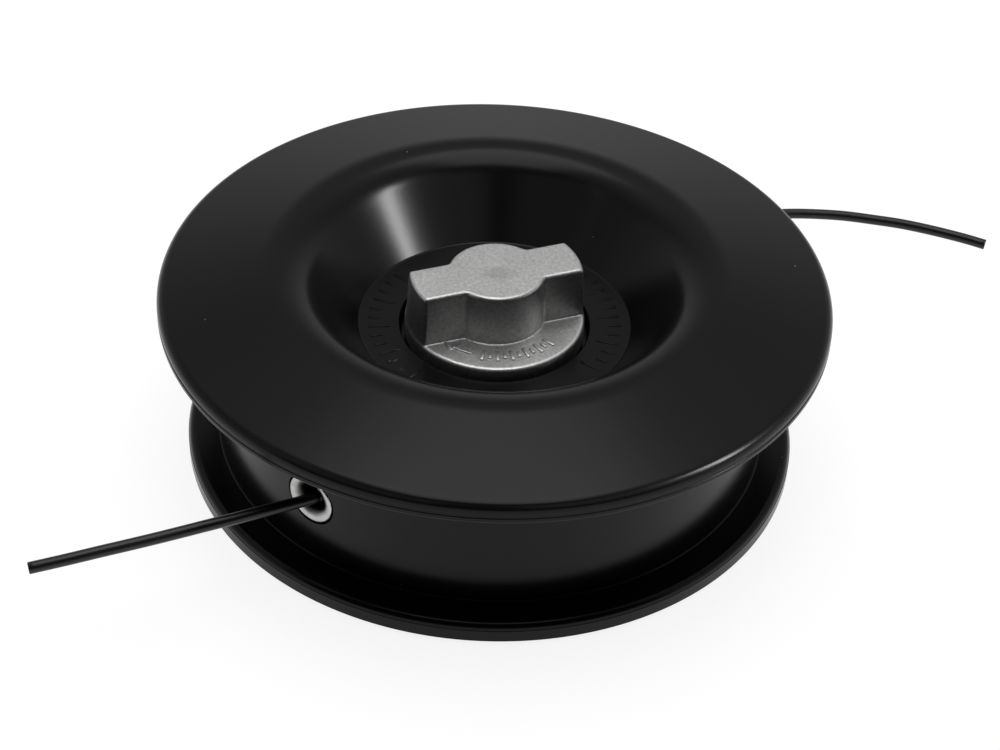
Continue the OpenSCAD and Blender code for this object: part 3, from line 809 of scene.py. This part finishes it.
def route_round(add, work, places, radius, angle, height):
    """A curve through places that are set round the axis."""
    place = add("ShaderNodeCombineXYZ", X=work("MULTIPLY", radius, work("COSINE", angle)),
                Y=work("MULTIPLY", radius, work("SINE", angle)), Z=height)
    laid = add("GeometryNodeSetPosition", Geometry=places, Position=place)
    return add("GeometryNodeMeshToCurve", Mesh=laid)


def wound_tree():
    """Line wound up and down between two walls, layer on layer, as one unbroken tube."""
    tree, add, given = new_tree(
        "wound", Inner_radius="Float", Layer_step="Float", Low="Float", High="Float",
        Layers="Float", Layer_turns="Float", Climb="Float", Last_turns="Float", Steps="Float",
        End_angle="Float", End_radius="Float", End_height="Float", Line_radius="Float",
        Sides="Int", Material="Material")
    work = maths(add)
    wound = work("MULTIPLY", given["Layers"], given["Layer turns"])
    whole = work("ADD", wound, given["Last turns"])
    places, turns = places_by_turn(add, work, whole, given["Steps"])
    held = work("MINIMUM", turns, work("SUBTRACT", wound, 0.001))
    layer = work("FLOOR", work("DIVIDE", held, given["Layer turns"]))
    within = work("SUBTRACT", held, work("MULTIPLY", layer, given["Layer turns"]))
    climbed = ramp(add, within, 0, given["Climb"])
    level = work("MAXIMUM", work("ADD", work("SUBTRACT", layer, 1.0), climbed), 0.0)
    radius = work("MULTIPLY_ADD", level, given["Layer step"], given["Inner radius"])
    crossed = ramp(add, within, given["Climb"], given["Layer turns"])
    sweep = work("PINGPONG", work("ADD", layer, crossed), 1.0)
    span = work("SUBTRACT", given["High"], given["Low"])
    height = work("MULTIPLY_ADD", sweep, span, given["Low"])
    ending = ramp(add, turns, wound, whole)
    inward = work("SUBTRACT", given["End radius"], radius)
    last_radius = work("MULTIPLY_ADD", ending, inward, radius)
    upward = work("SUBTRACT", given["End height"], height)
    last_height = work("MULTIPLY_ADD", ending, upward, height)
    left = work("MULTIPLY", work("SUBTRACT", whole, turns), 2 * math.pi)
    angle = work("ADD", left, given["End angle"])
    route = route_round(add, work, places, last_radius, angle, last_height)
    section = add("GeometryNodeCurvePrimitiveCircle", Resolution=given["Sides"],
                  Radius=given["Line radius"])
    tube = add("GeometryNodeCurveToMesh", Curve=route, Profile_Curve=section, Fill_Caps=True)
    end_tree(add, tube, given["Material"])
    return tree


WOUND = wound_tree()
WOUND_NYLON = line_nylon("wound_nylon", lambda add: add(
    "ShaderNodeMapping", Vector=add("ShaderNodeTexCoord", out="Object"), Scale=(300, 300, 2500)))


def winding(node, lead):
    """The line of one channel, from the core to the start of its lead."""
    low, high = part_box(node)
    line_r = LINE_D / 2
    inner = CORE_R * MM + line_r
    start = Vector(lead[0]) * MM
    return outward(grown(
        mesh_of([(0, 0, 0)], []), WOUND, Inner_radius=inner,
        Layer_step=(high[0] - line_r - inner) / (WINDING_LAYERS - 1), Low=low[2] + line_r,
        High=high[2] - line_r, Layers=float(WINDING_LAYERS), Layer_turns=LAYER_TURNS,
        Climb=CLIMB_TURNS, Last_turns=LAST_TURNS, Steps=float(TURN_STEPS),
        End_angle=math.atan2(start.y, start.x), End_radius=math.hypot(start.x, start.y),
        End_height=start.z, Line_radius=line_r, Sides=WOUND_SIDES, Material=WOUND_NYLON))


for winding_name, winding_lead in (
    ("line_winding_lower", LEAD_FRONT),
    ("line_winding_upper", LEAD_REAR),
):
    finished(winding_name.replace("line_winding", "stored_line"),
             smooth_below(winding(winding_name, winding_lead), 60), WOUND_NYLON, "spool",
             "cutting_line", winding_name)


# ---- Grip washers -----------------------------------------------------------
# Two washers punched from pressed fibre and rubber. They stop the reel from creeping while it is
# clamped, one under the cover and one on the housing's floor.
def pressed_fibre():
    material, add = new_material("grip_fibre")
    place = add("ShaderNodeTexCoord", out="Object")
    fibres = add("ShaderNodeTexNoise", Vector=place, Scale=1500.0, Detail=6.0, Distortion=1.5)
    flecks = ramp(add, fibres, 0.42, 0.6)
    colour = add("ShaderNodeMix", flecks, data_type="RGBA", out=2,
                 at={6: (0.075, 0.055, 0.03, 1), 7: (0.23, 0.17, 0.095, 1)})
    bump = add("ShaderNodeBump", Height=flecks, Strength=0.5, Distance=0.00005)
    shader = add("ShaderNodeBsdfPrincipled", Base_Color=colour, Roughness=0.85, Normal=bump)
    add("ShaderNodeOutputMaterial", Surface=shader)
    return material


GRIP_FIBRE = pressed_fibre()
for grip in ("friction_washer_upper", "friction_washer_lower"):
    dress(grip, GRIP_FIBRE)


# ---- Arbor ------------------------------------------------------------------
# The steel core that the gearbox shaft screws into. Its hexagonal head sits in the housing, and
# its stud carries the knob. Head and shank are turned, and both threads are left-hand.
THREAD_R = 5.0
THREAD_PITCH = 1.25
THREAD_DEPTH = 0.6
THREAD_STEPS = 72.0
GROOVE_SHARE = 0.42
GROOVE_LAP = 0.15
GROOVE_FLARE = 0.1
SOCKET_R = 4.325
SOCKET_TURNS = 10
STUD_TURNS = 16
ARBOR_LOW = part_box("arbor")[0][2] / MM
ARBOR_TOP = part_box("arbor")[1][2] / MM


def thread_tree():
    """A groove along a left-hand helix: the section is swept along it, point in or point out."""
    tree, add, given = new_tree("thread", Radius="Float", Pitch="Float", Start="Float",
                                Turns="Float", Steps="Float", Material="Material")
    work = maths(add)
    places, turns = places_by_turn(add, work, given["Turns"], given["Steps"])
    angle = work("MULTIPLY", turns, -2 * math.pi)
    height = work("MULTIPLY_ADD", turns, given["Pitch"], given["Start"])
    route = route_round(add, work, places, given["Radius"], angle, height)
    upright = add("GeometryNodeSetCurveNormal", Curve=route, mode="Z_UP")
    section = add("GeometryNodeMeshToCurve", Mesh=given["Shape"])
    ridge = add("GeometryNodeCurveToMesh", Curve=upright, Profile_Curve=section, Fill_Caps=True)
    end_tree(add, ridge, given["Material"])
    return tree


THREAD = thread_tree()
TURNED_STEEL = metal("turned_steel", (0.5, 0.5, 0.51), 0.3, 1500, 0.2)


def thread_groove(radius, inward, start, turns):
    """A three-cornered groove that bites inward or outward from a cylinder of this radius."""
    half = GROOVE_SHARE * THREAD_PITCH + GROOVE_FLARE
    side = 1 if inward else -1
    section = mesh_of([(-side * GROOVE_LAP, -half, 0), (-side * GROOVE_LAP, half, 0),
                       (side * THREAD_DEPTH, 0, 0)], [], [(0, 1), (1, 2), (2, 0)])
    return outward(grown(section, THREAD, Radius=radius * MM, Pitch=THREAD_PITCH * MM,
                         Start=start * MM, Turns=float(turns), Steps=THREAD_STEPS,
                         Material=TURNED_STEEL))


def arbor():
    mesh = outward(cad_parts["arbor"].data.copy())
    groove_in = thread_groove(SOCKET_R, False, ARBOR_LOW - THREAD_PITCH, SOCKET_TURNS)
    groove_out = thread_groove(THREAD_R, True, ARBOR_TOP - STUD_TURNS * THREAD_PITCH,
                               STUD_TURNS + 1)
    return smooth_below(combined(mesh, "DIFFERENCE", groove_in, groove_out))


finished("arbor_core", arbor(), TURNED_STEEL, "housing", "turned_steel", "arbor")


# ---- Clip, insert and washer ------------------------------------------------
# A spring-steel ring snapped in the arbor's groove keeps it in the housing. A turned steel
# insert gives the soft knob its thread, and a zinc-plated washer lies under the knob.
SPRING_STEEL = metal("spring_steel", (0.16, 0.165, 0.175), 0.42, 2200, 0.3)
WASHER_STEEL = metal("washer_steel", (0.56, 0.57, 0.58), 0.27, 1200, 0.15)
dress("arbor_clip", SPRING_STEEL)
dress("knob_insert", TURNED_STEEL)
dress("thrust_washer", WASHER_STEEL)


# ---- Knob -------------------------------------------------------------------
# The wing knob, an aluminium die casting with drafted sides, soft edges and a finely mottled
# skin. It is spun down on the stud by hand until it clamps the reel. A raised arrow and a scale
# of ticks stand on its foot, in front of and behind the wing.
KNOB_LOW, KNOB_HIGH = (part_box("knob")[i][2] / MM for i in (0, 1))
KNOB_R = 19.0
KNOB_FOOT_TOP = KNOB_LOW + 4.3
FOOT_EDGE_R = 0.7
WING_TURN = 22
WING_W = 10.8
WING_END_R = 18.2
WING_CORNER_R = 0.5
BOSS_TOP_R = 10.1
DRAFT = math.tan(math.radians(2))
CAST_EDGE_R = 0.75
CAST_FILLET_R = 0.35
FOOT_FILLET_R = 0.3
UNDER_EDGE_R = 0.25
BORE_EDGE_R = 0.2
GATE_R = 2.3
GATE_DEPTH = 0.1
INSERT_R = 7.0
INSERT_TOP = KNOB_LOW + 12.0
POCKET_R = (9.5, 16.5)
POCKET_TOP = KNOB_LOW + 1.8
CAST_STEP = 0.27
MARK_R = 14.55
MARK_H = 0.3
MARK_W = 0.7
MARK_EDGE = 0.12
MARK_STEP = 12
LONG_MARKS = (-30, 6, 3.2)
SHORT_MARKS = (-24, 5, 1.8)
ARROW_TURNS = (-55, -39)
ARROW_STEPS = 17
ARROW_HEAD = 3
ARROW_LAP = 0.5
CAST_MARGIN = 0.5


def edge_between(a, b, edge):
    """Inside two faces at once, with this radius on the edge where they meet."""
    corner = np.hypot(np.maximum(a + edge, 0), np.maximum(b + edge, 0))
    return np.minimum(np.maximum(a, b), -edge) + corner


def fillet_between(a, b, fillet):
    """Inside either of two shapes, with this fillet in the corner where they meet."""
    corner = np.hypot(np.maximum(fillet - a, 0), np.maximum(fillet - b, 0))
    return np.maximum(np.minimum(a, b), fillet) - corner


def casting(places):
    """Distance from the skin of the casting, less than nothing inside the metal."""
    x, y, z = places[..., 0], places[..., 1], places[..., 2]
    turn = math.radians(WING_TURN)
    across = np.abs(y * math.cos(turn) - x * math.sin(turn))
    r = np.hypot(x, y)
    lean = (KNOB_HIGH - z) * DRAFT
    end_r = KNOB_R + (WING_END_R - KNOB_R) * (z - KNOB_LOW) / (KNOB_HIGH - KNOB_LOW)
    wing = edge_between(across - WING_W / 2 - lean, r - end_r, WING_CORNER_R)
    walls = fillet_between(wing, r - BOSS_TOP_R - lean, CAST_FILLET_R)
    gate = GATE_DEPTH * np.exp(-(r / GATE_R) ** 4)
    handle = edge_between(walls, z - KNOB_HIGH + gate, CAST_EDGE_R)
    foot = edge_between(r - KNOB_R, z - KNOB_FOOT_TOP, FOOT_EDGE_R)
    solid = np.maximum(fillet_between(handle, foot, FOOT_FILLET_R), r - KNOB_R)
    solid = edge_between(solid, KNOB_LOW - z, UNDER_EDGE_R)
    bore = np.maximum(r - INSERT_R, z - INSERT_TOP)
    ring = np.abs(r - sum(POCKET_R) / 2) - (POCKET_R[1] - POCKET_R[0]) / 2
    pocket = np.maximum(ring, z - POCKET_TOP)
    return edge_between(solid, -np.minimum(bore, pocket), BORE_EDGE_R)


def skin(distance, low, high, step, passes=5):
    """A closed mesh of small quads over the surface where a distance is nought."""
    axes = [np.arange(a, b + step, step) for a, b in zip(low, high)]
    grid = np.stack(np.meshgrid(*axes, indexing="ij"), axis=-1)
    inside = distance(grid) < 0
    cells = [n - 1 for n in inside.shape]
    filled = sum(inside[i:i + cells[0], j:j + cells[1], k:k + cells[2]].astype(int)
                 for i in (0, 1) for j in (0, 1) for k in (0, 1))
    mixed = (filled > 0) & (filled < 8)
    number = np.full(mixed.shape, -1)
    number[mixed] = np.arange(mixed.sum())
    points = np.stack([axis[index] + step / 2 for axis, index in zip(axes, np.nonzero(mixed))],
                      axis=-1)
    nudge = 0.02 * step
    for _ in range(passes):
        here = distance(points)
        slope = np.stack([(distance(points + nudge * unit) - distance(points - nudge * unit))
                          / (2 * nudge) for unit in np.eye(3)], axis=-1)
        points = points - (here / np.maximum((slope ** 2).sum(axis=-1), 0.25))[:, None] * slope
    faces = []
    for axis in range(3):
        u, v = np.eye(3, dtype=int)[[(axis + 1) % 3, (axis + 2) % 3]]
        ahead = np.roll(inside, -1, axis=axis)
        edges = np.argwhere((inside != ahead)[1:-1, 1:-1, 1:-1]) + 1
        quads = np.stack([number[tuple((edges - shift).T)] for shift in (0 * u, u, u + v, v)],
                         axis=-1)
        leaving = inside[tuple(edges.T)]
        faces += quads[leaving].tolist() + quads[~leaving][:, ::-1].tolist()
    return outward(mesh_of(points.tolist(), faces))


def knob_marks():
    """Ticks of two lengths and a curved arrow, once on each side of the wing.

    Each row of ticks has its first turn, its count and their length."""
    low, high = KNOB_FOOT_TOP - SUNK, KNOB_FOOT_TOP + MARK_H
    marks = []
    for first, count, length in (LONG_MARKS, SHORT_MARKS):
        tick = block((MARK_R - length / 2, MARK_R + length / 2), (-MARK_W / 2, MARK_W / 2),
                     (low, high))
        marks.append(around(softened(tick, MARK_EDGE), count, first, MARK_STEP, CAST_ALUMINIUM))
    bend = [math.radians(a) for a in np.linspace(*ARROW_TURNS, ARROW_STEPS)]
    bar = [((MARK_R + side * MARK_W / 2) * math.cos(a), (MARK_R + side * MARK_W / 2) * math.sin(a))
           for side, turns in ((1, bend), (-1, bend[::-1])) for a in turns]
    head = prism([(MARK_R, -ARROW_HEAD), (MARK_R + ARROW_HEAD / 2, 0),
                  (MARK_R - ARROW_HEAD / 2, 0)], low, high)
    head.transform(Matrix.Rotation(bend[0] + math.radians(ARROW_LAP), 4, "Z"))
    marks.append(softened(combined(prism(bar, low, high), "UNION", head), MARK_EDGE))
    return around(united(*marks), 2, WING_TURN - 90, 180, CAST_ALUMINIUM)


def painted_foot_light_and_dark_gate(add, place):
    """Painted light: the foot's colour is lighter, standing in for light that falls on it, and the
    top's colour is darker round the gate mark.
    """
    work = maths(add)
    height = add("ShaderNodeSeparateXYZ", place, out="Z")
    # painted light: the foot's colour is made 14% lighter where light falls on it
    foot = ramp(add, height, (KNOB_FOOT_TOP + 0.2) * MM, (KNOB_FOOT_TOP + 1.0) * MM, low=1.14)
    patchy = noise(add, place, scale=260.0, detail=3.0)
    reach = work("MULTIPLY_ADD", patchy, 0.008, off_axis(add, place, (1, 1, 0)))
    # the top's colour is darker round the gate mark
    darker_gate_tone = ramp(add, reach, 0.004, 0.009, low=0.84, interpolation_type="SMOOTHSTEP")
    return work("MULTIPLY", foot, darker_gate_tone)


CAST_ALUMINIUM = metal("cast_aluminium", (0.57, 0.57, 0.565), 0.43, 1500, 0.8, 0.17, painted_foot_light_and_dark_gate)
KNOB_SKIN = skin(casting, (-KNOB_R - CAST_MARGIN, -KNOB_R - CAST_MARGIN, KNOB_LOW - CAST_MARGIN),
                 (KNOB_R + CAST_MARGIN, KNOB_R + CAST_MARGIN, KNOB_HIGH + CAST_MARGIN), CAST_STEP)
KNOB = finished("knob_casting", smooth_below(KNOB_SKIN, 50), CAST_ALUMINIUM, "knob",
                "cast_aluminium", "knob")
KNOB_MARKS = finished("knob_marks", knob_marks(), CAST_ALUMINIUM, "knob", "cast_aluminium")


# ---- Stage ------------------------------------------------------------------
# A pale table in a white studio. A dark screen stands on the viewer's side, a soft box hangs
# overhead and a narrow one stands on the right. Two faint panels light the cover alone.
def stage_floor():
    mesh = mesh_of([(x, y, 0) for x, y in circle(12 / MM, steps=96)], [tuple(range(96))])
    material, add = new_material("floor_paint")
    work = maths(add)
    path = add("ShaderNodeLightPath").node.outputs
    seen = work("MAXIMUM", path["Is Camera Ray"], path["Is Glossy Ray"])
    shown = work("MAXIMUM", seen, path["Is Transmission Ray"])
    colour = add("ShaderNodeMix", shown, data_type="RGBA", out=2,
                 at={6: (0.8, 0.8, 0.8, 1), 7: (0.25, 0.25, 0.25, 1)})
    paint = add("ShaderNodeBsdfDiffuse", Color=colour)
    white = work("MULTIPLY", shown, 0.87)
    glow = add("ShaderNodeEmission", Color=(1, 1, 1, 1), Strength=white)
    surface = add("ShaderNodeAddShader", paint, glow)
    add("ShaderNodeOutputMaterial", Surface=surface)
    floor = link("floor", mesh, material)
    return floor


def dark_screen():
    """A curved black screen on the viewer's side, which only reflections and shade see."""
    radius, low, high = 3.0, math.radians(4), math.radians(66)
    across = np.radians(np.linspace(-155, -25, 27))
    upward = np.linspace(low, high, 9)
    corners = [(radius * math.cos(a) * math.cos(e), radius * math.sin(a) * math.cos(e),
                radius * math.sin(e)) for e in upward for a in across]
    n = len(across)
    faces = [(j * n + i, j * n + i + 1, (j + 1) * n + i + 1, (j + 1) * n + i)
             for j in range(len(upward) - 1) for i in range(n - 1)]
    mesh = bpy.data.meshes.new("screen")
    mesh.from_pydata(corners, [], faces)
    material, add = new_material("black_cloth")
    cloth = add("ShaderNodeBsdfDiffuse", Color=(0.03, 0.03, 0.03, 1))
    add("ShaderNodeOutputMaterial", Surface=cloth)
    screen = link("screen", mesh, material)
    screen.visible_camera = False


def soft_box(name, azimuth, elevation, distance, width, height, radiance):
    """A lamp that faces the head, from so far away in metres."""
    lamp = bpy.data.lights.new(name, "AREA")
    lamp.shape = "RECTANGLE"
    lamp.size = width
    lamp.size_y = height
    lamp.energy = radiance * math.pi * width * height
    source = placed(name, lamp)
    a, e = math.radians(azimuth), math.radians(elevation)
    out = Vector((math.cos(a) * math.cos(e), math.sin(a) * math.cos(e), math.sin(e)))
    source.location = out * distance
    source.rotation_mode = "QUATERNION"
    source.rotation_quaternion = out.to_track_quat("Z", "Y")
    return source


def flagged(source, state, *pieces):
    """Light linking: the lamp lights only these pieces, or all but these."""
    group = bpy.data.collections.new(source.name + "_link")
    for piece in pieces:
        group.objects.link(piece)
    for member in group.collection_objects:
        member.light_linking.link_state = state
    source.light_linking.receiver_collection = group


def studio():
    """White walls that fade a little towards the ceiling."""
    world = bpy.data.worlds.new("studio")
    bpy.context.scene.world = world
    world.use_nodes = True
    world.node_tree.nodes.clear()
    add = node_adder(world.node_tree)
    way = add("ShaderNodeSeparateXYZ", add("ShaderNodeTexCoord", out="Generated")).node.outputs
    fade = ramp(add, way["Z"], 0.3, 0.6, low=0.7, high=0.5, interpolation_type="SMOOTHSTEP")
    rise = ramp(add, way["Z"], 0.62, 0.9, high=0.6)
    behind = ramp(add, way["Y"], 0.0, 0.3)
    glow = maths(add)("MULTIPLY_ADD", rise, behind, fade)
    light = add("ShaderNodeBackground", Strength=glow)
    add("ShaderNodeOutputWorld", Surface=light)


FLOOR = stage_floor()
dark_screen()
studio()
soft_box("overhead_box", azimuth=92, elevation=85.5, distance=1.6, width=0.92, height=1.27,
         radiance=2.1)
side_box = soft_box("side_box", azimuth=-12, elevation=32, distance=1.2, width=0.14, height=0.5,
                    radiance=52)
flagged(side_box, "EXCLUDE", FLOOR, KNOB, KNOB_MARKS, HOUSING)
for panel_name, panel_azimuth, panel_radiance in (
    ("fill_right", -49, 0.55),
    ("fill_left", -131, 0.36),
):
    panel = soft_box(panel_name, panel_azimuth, elevation=38, distance=2.4, width=2.0, height=1.4,
                     radiance=panel_radiance)
    flagged(panel, "INCLUDE", COVER)

bpy.context.scene.view_settings.view_transform = "Standard"
